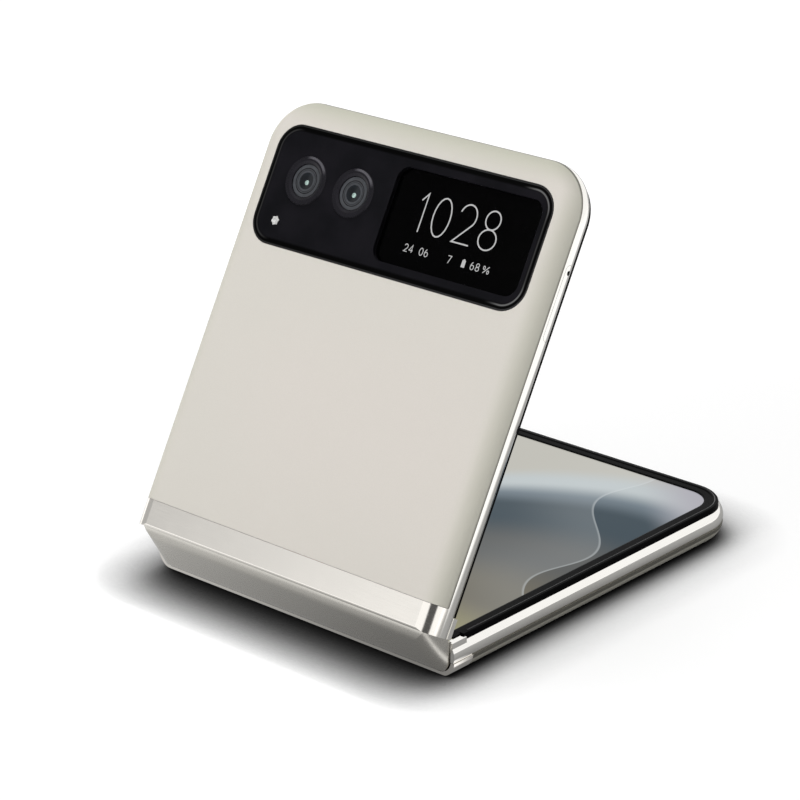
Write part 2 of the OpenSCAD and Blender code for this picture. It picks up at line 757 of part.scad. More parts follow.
module upper_plate() color(steel) in_upper() backing_plate() {
    translate([0, front_camera_y, -1]) cylinder(r = front_hole_r + 0.4, h = 3);
    box(-6.3, 6.3, ear_piece_y - 0.3, reach, 0, 2);
}

module upper_bracket() color(steel) in_upper() bracket(0, upper_rack_x);

module upper_battery() color([0.13, 0.13, 0.14]) in_upper() battery(upper_board_y - 1.5);

module upper_board() color(boardc) in_upper() board(upper_board_depth, upper_posts) difference() {
    union() {
        round_rect(-4.5, board_half, upper_board_y, upper_arm_y + 3.4, 1);
        translate([-board_half + 0.6, upper_arm_y - 1.6]) square([2.6, 5]);
        translate([-board_half + 0.6, upper_arm_y]) square([board_half - 4.6, 3.4]);
    }
    translate([0, front_camera_y]) circle(3.4);
}

module board_shield() color(steel) in_upper() difference() {
    slab(0, board_half - 4.6, upper_board_y + 7, upper_board_y + 23, 1, 4.35, 5.2);
    slab(0.2, board_half - 4.8, upper_board_y + 7.2, upper_board_y + 22.8, 0.8, 4, 5);
}

module upper_screws() color(steel) in_upper() {
    bracket_screw_set();
    post_screw_set(upper_posts, upper_board_depth);
}

// Outer glass with the lenses and the second screen behind it
module outer_glass() color([0.03, 0.03, 0.04]) in_upper() difference() {
    union() {
        window_hole(0, half_thick - skin, half_thick);
        window_hole(-0.35, half_thick - 0.1, half_thick + 0.08);
    }
    for (x = [lens_main_x, lens_wide_x])
        translate([x, lens_far, 5]) cylinder(r = lens_ring_r - 0.4, h = 3);
}

screen_box = [lens_wide_x + 8.7, window_right - 2.2, window_near + 2.7, window_far - 2.7];

module outer_display() color([0.02, 0.02, 0.02]) in_upper()
    slab(screen_box[0], screen_box[1], screen_box[2], screen_box[3], 2.5, 5.35, inner_top - 0.03);

// Each lens ring sits on the glass with a sleeve down through it
module lens_rings() color([0.15, 0.15, 0.17]) in_upper()
    for (x = [lens_main_x, lens_wide_x]) translate([x, lens_far, 0]) rotate_extrude()
        polygon([[lens_glass_r + 0.35, inner_top], [lens_ring_r - 0.45, inner_top],
            [lens_ring_r - 0.45, half_thick + 0.1], [lens_ring_r, half_thick + 0.1],
            [lens_ring_r - 0.15, half_thick + lens_proud], [lens_glass_r + 0.9, half_thick + lens_proud],
            [lens_glass_r + 0.35, half_thick + 0.1]]);

module lens_glass() color([0.1, 0.1, 0.14]) in_upper()
    for (x = [lens_main_x, lens_wide_x]) translate([x, lens_far, inner_top + 0.15])
        cylinder(r = lens_glass_r + 0.3, h = half_thick - inner_top - 0.25);

flash_at = [window_left + 5.55, window_near + 4.6];
module flash_lens() color([0.9, 0.88, 0.75]) in_upper() translate([flash_at[0], flash_at[1], 5.45])
    cylinder(r = 1.3, h = inner_top - 5.45 - 0.02);

module flash_board() color([0.1, 0.25, 0.17]) in_upper()
    slab(flash_at[0] - 2.3, flash_at[0] + 2.3, flash_at[1] - 2.3, flash_at[1] + 2.3, 0.6, 4.6, 5.4);

// Camera modules: a square can with a round barrel
module camera_can(half, barrel_r, z0, z1, z2) {
    slab(-half, half, -half, half, 0.6, z0, z1);
    translate([0, 0, z1 - 0.1]) cylinder(r = barrel_r, h = z2 - z1 + 0.1);
}

module main_camera() color([0.12, 0.12, 0.14]) in_upper() translate([lens_main_x, lens_far, 0])
    camera_can(4.9, 3, shelf_low + 0.1, 4.9, inner_top - 0.05);

module wide_camera() color([0.12, 0.12, 0.14]) in_upper() translate([lens_wide_x, lens_far, 0])
    camera_can(4.4, 2.7, shelf_low + 0.1, 4.7, inner_top - 0.05);

module front_camera() color([0.12, 0.12, 0.14]) in_upper() translate([0, front_camera_y, 0]) {
    translate([0, 0, 0.1]) cylinder(r = front_hole_r - 0.15, h = 1.5);
    cylinder_from(1.5, 3.3, 2.7);
}

module cylinder_from(z0, z1, r) translate([0, 0, z0]) cylinder(r = r, h = z1 - z0);

module earpiece() color([0.1, 0.1, 0.1]) in_upper() slab(-6, 6, ear_piece_y, ear_piece_y + 2.5, 0.8, 0.7, 3.3);

module earpiece_mesh() color([0.3, 0.3, 0.3]) in_upper()
    slab(-4.95, 4.95, ear_slot - 0.25, ear_slot + 0.25, 0.24, -0.3, -0.1);

// Keys on the left side of the frame
module key_slots() {
    side_slot(volume_mid, volume_len + 0.16, key_high + 0.16);
    side_slot(power_mid, power_len + 0.16, key_high + 0.16);
}

module side_slot(mid, len, high)
    translate([-hw - 1, 0, 0]) rotate([90, 0, 90]) linear_extrude(frame_wall + 2)
        round_rect(mid - len / 2, mid + len / 2, band_mid - high / 2, band_mid + high / 2, high / 2 - 0.01);

// A key's cap, a collar behind the wall that keeps it in, and nubs that press the switches
key_travel = 0.25;
switch_x = 1.525 - inner_half;
module key_nub(y) box(-inner_half + 0.35, switch_x - key_travel - 0.05, y - 0.5, y + 0.5, 1.7, 2.7);

module key_body(mid, len, collar) {
    translate([-hw - key_proud, 0, 0]) rotate([90, 0, 90]) linear_extrude(key_proud + frame_wall + 0.1)
        round_rect(mid - len / 2, mid + len / 2, band_mid - key_high / 2, band_mid + key_high / 2,
            key_high / 2 - 0.01);
    box(-inner_half + 0.06, -inner_half + 0.4, mid - collar, mid + collar, 1.45, 2.95);
    box(-inner_half + 0.06, -inner_half + 0.4, mid - len / 2 + 0.6, mid + len / 2 - 0.6, 1.6, 2.7);
}

module volume_key() color(metal) in_upper() {
    key_body(volume_mid, volume_len, 2);
    translate([-inner_half + 0.35, volume_mid, 1.45]) cylinder(r = 0.4, h = 1.5);
    for (side = [-1, 1]) key_nub(volume_mid + side * 6);
}

module power_key() color([0.2, 0.2, 0.2]) in_upper() {
    key_body(power_mid, power_len, power_len / 2 + 0.6);
    key_nub(power_mid);
}

module key_switches() color([0.7, 0.45, 0.2]) in_upper() {
    box(switch_x + 0.4, switch_x + 0.6, power_mid - 6, volume_mid + 9, 1.45, 3.2);
    for (y = [power_mid, volume_mid - 6, volume_mid + 6]) translate([switch_x, y, 2.2])
        rotate([0, 90, 0]) cylinder(r = 0.7, h = 0.5);
}

// Card tray in the right side of the frame
tray_in = 16;
tray_half = tray_len / 2 - 1.4;

module tray_slot() translate([inner_half - 1, 0, 0]) rotate([90, 0, 90]) linear_extrude(frame_wall + 3)
    round_rect(tray_mid - tray_len / 2 - 0.05, tray_mid + tray_len / 2 + 0.05,
        band_mid - tray_high / 2 - 0.05, band_mid + tray_high / 2 + 0.05, tray_high / 2 + 0.04);

module sim_tray() color(metal) in_upper() difference() {
    union() {
        intersection() {
            translate([inner_half, 0, 0]) rotate([90, 0, 90]) linear_extrude(frame_wall + 1)
                round_rect(tray_mid - tray_len / 2, tray_mid + tray_len / 2,
                    band_mid - tray_high / 2, band_mid + tray_high / 2, tray_high / 2 - 0.01);
            along_y(tray_mid - tray_len, 2 * tray_len) translate([cx, 0]) frame_section(frame_wall + 0.1);
        }
        slab(hw - tray_in, inner_half + 0.2, tray_mid - tray_half, tray_mid + tray_half, 0.5, 1.65, 2.65);
    }
    slab(hw - tray_in + 0.8, hw - tray_in + 13.2, tray_mid - tray_half + 1.1, tray_mid + tray_half - 1.1,
        0.4, 1.95, 3);
    translate([hw - 3, tray_mid + tray_half, band_mid]) rotate([0, 90, 0]) cylinder(r = 0.45, h = 5);
}

module sim_card() color([0.8, 0.7, 0.35]) in_upper() slab(hw - tray_in + 0.85, hw - tray_in + 13.15,
    tray_mid - tray_half + 1.2, tray_mid + tray_half - 1.2, 0.35, 1.97, 2.64);

module sim_socket() color(steel) in_upper() difference() {
    slab(hw - tray_in - 1.6, inner_half - 0.5, tray_mid - tray_half - 1, tray_mid + tray_half + 1,
        0.5, 1.45, 3.1);
    box(hw - tray_in - 0.3, hw, tray_mid - tray_half - 0.15, tray_mid + tray_half + 0.15, 1.6, 2.95);
}

lower_frame();
lower_bands();
lower_cover();
lower_strip();
lower_bezel();
lower_panel();
lower_plate();
lower_bracket();
lower_battery();
lower_board();
usb_socket();
loudspeaker();
vibration_motor();
lower_microphone();
lower_screws();
spine();
hinge_base();
fold_rest();
lower_pinion();
upper_pinion();
lower_idler();
upper_idler();
torque_clips();
spine_screws();
hinge_flex();
fold_panel();
upper_frame();
upper_bands();
upper_cover();
upper_strip();
upper_bezel();
upper_panel();
upper_plate();
upper_bracket();
upper_battery();
upper_board();
board_shield();
upper_screws();
outer_glass();
outer_display();
lens_rings();
lens_glass();
flash_lens();
flash_board();
main_camera();
wide_camera();
front_camera();
earpiece();
earpiece_mesh();
volume_key();
power_key();
key_switches();
sim_tray();
sim_card();
sim_socket();
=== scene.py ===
import math

import bmesh
import bpy
from mathutils import Matrix, Vector


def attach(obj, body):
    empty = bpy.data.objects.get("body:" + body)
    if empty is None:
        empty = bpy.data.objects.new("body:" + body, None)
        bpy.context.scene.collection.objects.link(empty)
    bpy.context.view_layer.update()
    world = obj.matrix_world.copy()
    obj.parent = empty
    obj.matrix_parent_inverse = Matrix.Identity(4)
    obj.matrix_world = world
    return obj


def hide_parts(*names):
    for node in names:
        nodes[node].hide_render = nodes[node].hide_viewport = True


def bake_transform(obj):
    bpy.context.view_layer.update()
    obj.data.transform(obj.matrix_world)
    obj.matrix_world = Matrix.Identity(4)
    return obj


# The camera looks down at the hinge end of the phone from the right, from about half a metre,
# through a long lens, as the photograph does.
azimuth = math.radians(42.0)
height = math.radians(21.55)
roll = math.radians(-0.44)
ahead = Vector((-math.sin(azimuth) * math.cos(height), math.cos(azimuth) * math.cos(height),
                -math.sin(height)))
level = Vector((math.cos(azimuth), math.sin(azimuth), 0))
above = level.cross(ahead)
right = math.cos(roll) * level + math.sin(roll) * above
top = -math.sin(roll) * level + math.cos(roll) * above
camera = bpy.data.objects.new("camera", bpy.data.cameras.new("camera"))
camera.data.lens = 137.88
camera.data.sensor_width = 36
camera.data.clip_start = 0.01
stands = Matrix.Translation((0.35131, -0.36353, 0.24234))
camera.matrix_world = stands @ Matrix((right, top, -ahead)).transposed().to_4x4()
bpy.context.scene.collection.objects.link(camera)
bpy.context.scene.camera = camera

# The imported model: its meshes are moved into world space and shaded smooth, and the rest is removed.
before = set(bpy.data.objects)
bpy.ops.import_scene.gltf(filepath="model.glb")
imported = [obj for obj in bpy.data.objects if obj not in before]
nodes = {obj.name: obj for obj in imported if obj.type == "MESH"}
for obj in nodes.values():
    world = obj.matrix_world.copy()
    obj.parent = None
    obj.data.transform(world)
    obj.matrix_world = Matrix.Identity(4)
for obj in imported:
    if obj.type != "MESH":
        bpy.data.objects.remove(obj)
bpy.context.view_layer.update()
for piece in nodes.values():
    piece.data.polygons.foreach_set("use_smooth", [True] * len(piece.data.polygons))
    piece.data.set_sharp_from_angle(angle=math.radians(28))


# The studio: a white surround and two softboxes. Mirror-like pieces see the surround with a grey
# left side and a dark flag in front, which draw the bands along the metal edges.
def give(node, **given):
    """Sets or wires the inputs of a shader node: an underscore stands for a blank in a socket's
    name, and i6 for the seventh socket."""
    for key, value in given.items():
        socket = node.inputs[int(key[1:]) if key[1:].isdigit() else key.replace("_", " ")]
        if isinstance(value, bpy.types.NodeSocket):
            node.id_data.links.new(value, socket)
        else:
            socket.default_value = value


def put(tree, kind, settings=None, **given):
    """A new shader node with its settings, and its inputs as in give."""
    made = tree.nodes.new("ShaderNode" + kind)
    for key, value in (settings or {}).items():
        setattr(made, key, value)
    give(made, **given)
    return made


def calc(tree, kind, a, b=0.0, c=0.0):
    """One step of arithmetic on shader values."""
    return put(tree, "Math", {"operation": kind}, i0=a, i1=b, i2=c).outputs[0]


def ramp(tree, value, low, high, to_low=0.0, to_high=1.0):
    """A value taken smoothly from one range to another and held at its ends."""
    return put(tree, "MapRange", {"interpolation_type": "SMOOTHSTEP"}, Value=value, From_Min=low,
               From_Max=high, To_Min=to_low, To_Max=to_high).outputs[0]


def blend_value(tree, share, a, b):
    """Value a where share is 0 and value b where it is 1."""
    return put(tree, "Mix", {"data_type": "FLOAT"}, i0=share, i2=a, i3=b).outputs[0]


world = bpy.data.worlds.new("studio")
bpy.context.scene.world = world
world.use_nodes = True
tree = world.node_tree
way = put(tree, "LightPath").outputs
gaze = put(tree, "TexCoord").outputs["Generated"]


def toward(x, y, z, near, far):
    """1 within near degrees of the given direction, falling to 0 at far degrees from it."""
    towards = Vector((x, y, z)).normalized()
    turned = put(tree, "VectorMath", {"operation": "DOT_PRODUCT"}, i0=gaze, i1=towards)
    return ramp(tree, turned.outputs["Value"], math.cos(math.radians(far)), math.cos(math.radians(near)))


flag = toward(0.56, -0.70, 0.43, 17, 27)
grey_left = toward(-0.93, -0.25, 0.30, 24, 36)
mirror_level = calc(tree, "MULTIPLY_ADD", grey_left, -0.6, 1.04)
mirror_level = calc(tree, "MULTIPLY_ADD", flag, -0.95, mirror_level)
fill_level = 0.45
surround = blend_value(tree, way["Is Glossy Ray"], fill_level, mirror_level)
surround = blend_value(tree, way["Is Camera Ray"], surround, 1.0)
give(tree.nodes["Background"], Strength=surround, Color=(1, 1, 1, 1))


def lamp(name, place, size, watts):
    """A square softbox aimed at the phone, which mirror-like pieces don't see."""
    light = bpy.data.lights.new(name, "AREA")
    light.size = size
    light.energy = watts
    made = bpy.data.objects.new(name, light)
    made.visible_glossy = False
    made.location = place
    made.rotation_euler = (Vector((0, 0.03, 0.03)) - Vector(place)).to_track_quat("-Z", "Y").to_euler()
    bpy.context.scene.collection.objects.link(made)


lamp("front_softbox", (-0.20, -0.88, 0.26), 0.5, 2.5)
lamp("top_softbox", (-0.06, -0.02, 1.0), 0.8, 5.3)


# The floor: white paper with a painted shadow under the phone, made darker where less of the sky
# is open and painted lighter on the right. Mirror-like pieces see painted reflections in it:
# dark near the phone and lighter to the left, a small bright painted glint card beside the hinge's
# end and a dark patch behind. The light it bounces back near the phone is painted dimmer.
# Lengths here are in metres.
def blend_colour(tree, share, a, b):
    """Colour a where share is 0 and colour b where it is 1."""
    return put(tree, "Mix", {"data_type": "RGBA"}, i0=share, i6=a, i7=b).outputs[2]


def beyond(tree, value, middle, half):
    """How far a value lies past half a width on either side of a middle, and 0 within it."""
    off = calc(tree, "ABSOLUTE", calc(tree, "SUBTRACT", value, middle))
    return calc(tree, "MAXIMUM", calc(tree, "SUBTRACT", off, half), 0.0)


def span_of(tree, x, y):
    """The length of a step x one way and y the other."""
    squares = calc(tree, "ADD", calc(tree, "MULTIPLY", x, x), calc(tree, "MULTIPLY", y, y))
    return calc(tree, "SQRT", squares)


def own_place(tree):
    """Where a point lies on its own object, in metres."""
    return put(tree, "TexCoord").outputs["Object"]


def fresh(name):
    """A new material, with its node tree and its shader."""
    material = bpy.data.materials.new(name)
    material.use_nodes = True
    return material, material.node_tree, material.node_tree.nodes["Principled BSDF"]


floor_half, floor_z = 3, -5e-5
half_across, middle_along, half_along = 0.037, 0.038, 0.046
ground = bpy.data.meshes.new("floor")
corners = [(floor_half * i, floor_half * j, floor_z) for i, j in ((-1, -1), (1, -1), (1, 1), (-1, 1))]
ground.from_pydata(corners, [], [(0, 1, 2, 3)])
floor = bpy.data.objects.new("floor", ground)
bpy.context.scene.collection.objects.link(floor)
paper, tree, shader = fresh("white_paper")
way = put(tree, "LightPath").outputs
glossy = way["Is Glossy Ray"]
seen = calc(tree, "MAXIMUM", way["Is Camera Ray"], way["Is Transmission Ray"])
place = own_place(tree)
x, y = put(tree, "SeparateXYZ", Vector=place).outputs[:2]
away = span_of(tree, beyond(tree, x, 0.0, half_across), beyond(tree, y, middle_along, half_along))
fibre = put(tree, "TexNoise", Vector=place, Scale=900.0).outputs[0]
paper_and_painted_shadow = blend_colour(tree, fibre, (0.95, 0.95, 0.95, 1), (0.99, 0.99, 0.99, 1))
# Painted shadow under the phone: the paper is darkened by a power of how open the sky is within 13.5 mm,
# with a lower power to the right, so the painted shadow is lighter there.
open_sky = put(tree, "AmbientOcclusion", {"samples": 12}, Distance=0.0135).outputs["AO"]
depth = ramp(tree, x, 0.036, 0.044, 3.2, 1.4)
paper_and_painted_shadow = blend_colour(tree, calc(tree, "POWER", open_sky, depth), (0, 0, 0, 1), paper_and_painted_shadow)
# Painted reflections, seen only by mirror-like pieces: darker near the phone and lighter to its left, a
# bright painted glint card beside the hinge's end, and a dark patch behind.
painted_near_reflection = ramp(tree, x, -0.05, 0.032, 0.52, 0.2)
painted_glint_card = calc(tree, "MULTIPLY", ramp(tree, x, 0.0374, 0.0382), ramp(tree, x, 0.0402, 0.0392))
painted_glint_card = calc(tree, "MULTIPLY", painted_glint_card, ramp(tree, y, 0.008, 0.002))
painted_near_reflection = calc(tree, "MULTIPLY_ADD", painted_glint_card, 0.9, painted_near_reflection)
behind = calc(tree, "MULTIPLY", ramp(tree, y, 0.06, 0.09), ramp(tree, x, 0.1, 0.06))
painted_far_reflection = calc(tree, "MULTIPLY_ADD", behind, -0.7, 0.98)
painted_reflection = blend_value(tree, ramp(tree, away, 0.035, 0.085), painted_near_reflection, painted_far_reflection)
dimmed = calc(tree, "MULTIPLY_ADD", glossy, 0.78, calc(tree, "MULTIPLY", seen, 0.36))
# Painted shade in bounced light: the floor near the phone gives less light back to the phone.
painted_bounce_shade = calc(tree, "MULTIPLY", way["Is Diffuse Ray"], ramp(tree, away, 0.01, 0.05, 0.6, 0.0))
kept = calc(tree, "MULTIPLY", calc(tree, "SUBTRACT", 1.0, dimmed), calc(tree, "SUBTRACT", 1.0, painted_bounce_shade))
seen_level = ramp(tree, away, 0.06, 0.16, 0.46, 0.56)
lift = calc(tree, "MULTIPLY_ADD", seen, seen_level, calc(tree, "MULTIPLY", glossy, painted_reflection))
give(shader, Base_Color=blend_colour(tree, kept, (0, 0, 0, 1), paper_and_painted_shadow), Roughness=1, Specular_IOR_Level=0,
     Emission_Color=blend_colour(tree, glossy, paper_and_painted_shadow, (1, 1, 1, 1)), Emission_Strength=lift)
ground.materials.append(paper)


# The side frames: one milled and polished aluminium rail round three sides of each half, with
# very fine polishing lines. The bands in it are cast plastic, filled and polished flush.
def tone(r, g, b):
    """A colour given as it looks on a screen, from 0 to 255."""
    return tuple(((v / 255 + 0.055) / 1.055) ** 2.4 if v > 10 else v / 3295 for v in (r, g, b)) + (1,)


def finish(name, colour, rough=0.4, metal=0.0, mottle=0.06, patch=6.0, grain=0.3, relief=0.004,
           spread=0.08, stretch=(1, 1, 1), **more):
    """A material with uneven colour in patches, and fine grain in its roughness and relief. patch,
    grain and relief are in millimetres, and stretch draws the grain out along an axis. more goes
    to the shader's other inputs."""
    material, tree, shader = fresh(name)
    place = own_place(tree)
    cloud = put(tree, "TexNoise", Vector=place, Scale=1000 / patch, Detail=3.0).outputs[0]
    drawn = put(tree, "Mapping", Vector=place, Scale=stretch).outputs[0]
    speck = put(tree, "TexNoise", Vector=drawn, Scale=1000 / grain, Detail=4.0).outputs[0]
    dark = [v * (1 - mottle) for v in colour[:3]] + [1]
    light = [min(1, v * (1 + mottle)) for v in colour[:3]] + [1]
    give(shader, Metallic=metal, Base_Color=blend_colour(tree, ramp(tree, cloud, 0.35, 0.65), dark, light),
         Roughness=ramp(tree, speck, 0.3, 0.7, max(0.02, rough - spread), min(1, rough + spread)),
         Normal=put(tree, "Bump", Height=speck, Strength=1.0, Distance=relief / 1000).outputs[0], **more)
    return material


def wear(material, *names):
    """These CAD nodes get this material."""
    for name in names:
        mesh = nodes[name].data
        mesh.materials.clear()
        mesh.materials.append(material)


rail = finish("polished_aluminium", tone(243, 241, 236), rough=0.1, metal=1.0, mottle=0.012, patch=9,
              grain=0.35, relief=0.0006, spread=0.035, stretch=(0.06, 0.06, 1))
wear(rail, "lower_frame", "upper_frame")
band_plastic = finish("band_plastic", tone(214, 211, 202), rough=0.38, mottle=0.03, patch=2,
                      grain=0.2, relief=0.002)
wear(band_plastic, "lower_bands", "upper_bands")

# The covers: synthetic leather with a fine shallow grain, wrapped over a moulded skin and
# cut flush at the metal. The tone drifts a little over the sheet. It is painted darker and
# greener towards the rolled edges, as painted shade where they turn from the light, and the cut
# edge shows as a dark line.
open_angle = math.radians(60.6)
half_angle = open_angle / 2
half_thick, axis_gap = 6.9, 2.0
side_x, end_y, corner_r = 36.975, 84.415, 9.5


def turned_half(share, turn):
    """The frame of a part whose axis lies a share of the way between the two hinge axes."""
    step = share * axis_gap
    place = (0, -step * math.sin(half_angle), half_thick + step * math.cos(half_angle))
    return Matrix.Translation(place) @ Matrix.Rotation(turn, 4, "X")


to_lower = Matrix.Translation((0, 0, half_thick)) @ Matrix.Scale(-1, 4, (0, 0, 1))
to_spine = turned_half(0.5, half_angle)
to_upper = turned_half(1, open_angle)


def on_lower(tree):
    """A point's place across and along the lower half, in millimetres, along being below zero."""
    return put(tree, "Mapping", Vector=own_place(tree), Scale=(1000, -1000, 1000)).outputs[0]


def on_upper(tree):
    """A point's place across, along and behind the upper half's display, in millimetres."""
    return put(tree, "Mapping", Vector=own_place(tree), Location=to_upper.inverted().translation,
               Rotation=(-open_angle, 0, 0), Scale=(1000, 1000, 1000)).outputs[0]


def rounded(tree, x, y, box, radius, soft):
    """1 inside a rectangle with round corners. box holds its ends in x, then in y."""
    out = span_of(tree, beyond(tree, x, (box[0] + box[1]) / 2, (box[1] - box[0]) / 2 - radius),
                  beyond(tree, y, (box[2] + box[3]) / 2, (box[3] - box[2]) / 2 - radius))
    return ramp(tree, out, radius + soft, radius - soft)


def leather(name, spot, cut_side):
    """The leather of one half. spot makes the place in that half, in millimetres, and cut_side is
    how far in the cut edge shows along the sides."""
    material, tree, shader = fresh(name)
    place = own_place(tree)
    shift = put(tree, "TexNoise", Vector=place, Scale=1400.0).outputs["Color"]
    bent = put(tree, "VectorMath", {"operation": "MULTIPLY_ADD"}, i0=shift, i1=(2.2e-4, 2.2e-4, 2.2e-4),
               i2=place).outputs[0]
    pebble = put(tree, "TexVoronoi", {"feature": "SMOOTH_F1"}, Vector=bent, Scale=2600.0,
                 Smoothness=0.6).outputs["Distance"]
    cloud = put(tree, "TexNoise", Vector=place, Scale=22.0, Detail=0.0).outputs[0]
    fine = put(tree, "TexNoise", Vector=place, Scale=6000.0, Detail=2.0).outputs[0]
    flat = put(tree, "SeparateXYZ", Vector=spot(tree)).outputs
    across, along = calc(tree, "ABSOLUTE", flat[0]), calc(tree, "ABSOLUTE", flat[1])
    skin_and_painted_edge_shade = blend_colour(tree, ramp(tree, cloud, 0.3, 0.7), tone(212, 208, 200), tone(215, 209, 202))
    # Painted shade: darker and greener over the rolled sides and towards the far end.
    skin_and_painted_edge_shade = blend_colour(tree, ramp(tree, across, 32.5, 36.8), skin_and_painted_edge_shade, tone(204, 202, 189))
    skin_and_painted_edge_shade = blend_colour(tree, ramp(tree, along, 79.0, 84.3), skin_and_painted_edge_shade, tone(188, 188, 172))
    skin_and_painted_edge_shade = blend_colour(tree, ramp(tree, fine, 0.3, 0.7, 0.0, 0.3), skin_and_painted_edge_shade, tone(205, 201, 192))
    uncut_x = 36.95 - cut_side
    uncut = rounded(tree, flat[0], along, (-uncut_x, uncut_x, -20, 84.19), 9.3, 0.06)
    relief = calc(tree, "MULTIPLY_ADD", pebble, -0.8, calc(tree, "MULTIPLY", fine, 0.25))
    give(shader, Base_Color=blend_colour(tree, uncut, tone(112, 110, 102), skin_and_painted_edge_shade), Specular_IOR_Level=0.3,
         Roughness=ramp(tree, fine, 0.3, 0.7, 0.52, 0.66),
         Normal=put(tree, "Bump", Height=relief, Strength=0.3, Distance=0.000008).outputs[0])
    return material


wear(leather("leather_lower", on_lower, 0.2), "lower_cover")
wear(leather("leather_upper", on_upper, 0.05), "upper_cover")

# The strips beside the fold and the hinge cover: stamped aluminium, polished on the strips and
# fine blasted on the hinge cover, which takes darker reflections from below.
strip_metal = finish("strip_metal", tone(250, 246, 239), rough=0.13, metal=1.0, mottle=0.012, patch=12,
                     grain=0.3, relief=0.0008, spread=0.04, stretch=(0.08, 1, 1))
wear(strip_metal, "lower_strip", "upper_strip")
spine_metal = finish("spine_metal", tone(206, 203, 196), rough=0.27, metal=1.0, mottle=0.015, patch=12,
                     grain=0.12, relief=0.0012, spread=0.05)
wear(spine_metal, "spine")

# The bezels: a black moulded ring round each half of the display, with a satin face and a fine
# glossy bead along its top.
bezel_black = finish("bezel_plastic", tone(9, 9, 10), rough=0.3, mottle=0.1, patch=5, grain=0.15,
                     relief=0.0015, spread=0.06, IOR=1.07)
wear(bezel_black, "lower_bezel", "upper_bezel")


def into(place, points):
    """Points drawn in millimetres in one half's own frame, as metres in the phone's frame."""
    return [(place @ Vector(p)) / 1000 for p in points]


def mesh_piece(name, points, faces, materials, body=None, sharp=30, which=None):
    """A new piece from points and faces, with its faces turned outward, riding on a body. which
    holds each face's material number."""
    mesh = bpy.data.meshes.new(name)
    mesh.from_pydata(points, [], faces)
    for material in materials if isinstance(materials, (list, tuple)) else [materials]:
        mesh.materials.append(material)
    if which:
        mesh.polygons.foreach_set("material_index", which)
    made = bpy.data.objects.new(name, mesh)
    bpy.context.scene.collection.objects.link(made)
    turned = bmesh.new()
    turned.from_mesh(mesh)
    bmesh.ops.recalc_face_normals(turned, faces=turned.faces)
    turned.to_mesh(mesh)
    turned.free()
    mesh.polygons.foreach_set("use_smooth", [True] * len(mesh.polygons))
    mesh.set_sharp_from_angle(angle=math.radians(sharp))
    if body:
        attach(made, body)
    return made


bead_black = finish("bezel_bead", tone(22, 22, 24), rough=0.22, mottle=0.1, patch=4, grain=0.15,
                    relief=0.0004, Specular_IOR_Level=0.45)
bead_x, bead_start, bead_height, bead_r, bead_sides = 35.3, 4.6, -0.44, 0.11, 8
arc_r = corner_r - (side_x - bead_x)
quarter = [math.radians(7.5 * k) for k in range(13)]
arcs = [(-1, t) for t in reversed(quarter)] + [(1, t) for t in quarter]
bead_line = [(-bead_x, bead_start)]
bead_line += [(side * (side_x - corner_r + arc_r * math.sin(t)), end_y - corner_r + arc_r * math.cos(t))
              for side, t in arcs]
bead_line.append((bead_x, bead_start))
for half, place in (("lower", to_lower), ("upper", to_upper)):
    points = []
    for i, (x, y) in enumerate(bead_line):
        before, after = bead_line[max(i - 1, 0)], bead_line[min(i + 1, len(bead_line) - 1)]
        run = (Vector(after) - Vector(before)).normalized()
        for t in (2 * math.pi / bead_sides * k for k in range(bead_sides)):
            out = bead_r * math.cos(t)
            points.append((x + out * run[1], y - out * run[0], bead_height + bead_r * math.sin(t)))
    faces = []
    for a in range(0, len(points) - bead_sides, bead_sides):
        for k in range(bead_sides):
            after = (k + 1) % bead_sides
            faces.append((a + k, a + after, a + bead_sides + after, a + bead_sides + k))
    faces += [tuple(range(bead_sides)), tuple(range(len(points) - bead_sides, len(points)))]
    bead = mesh_piece(half + "_bezel_bead", into(place, points), faces, bead_black, half, sharp=60)


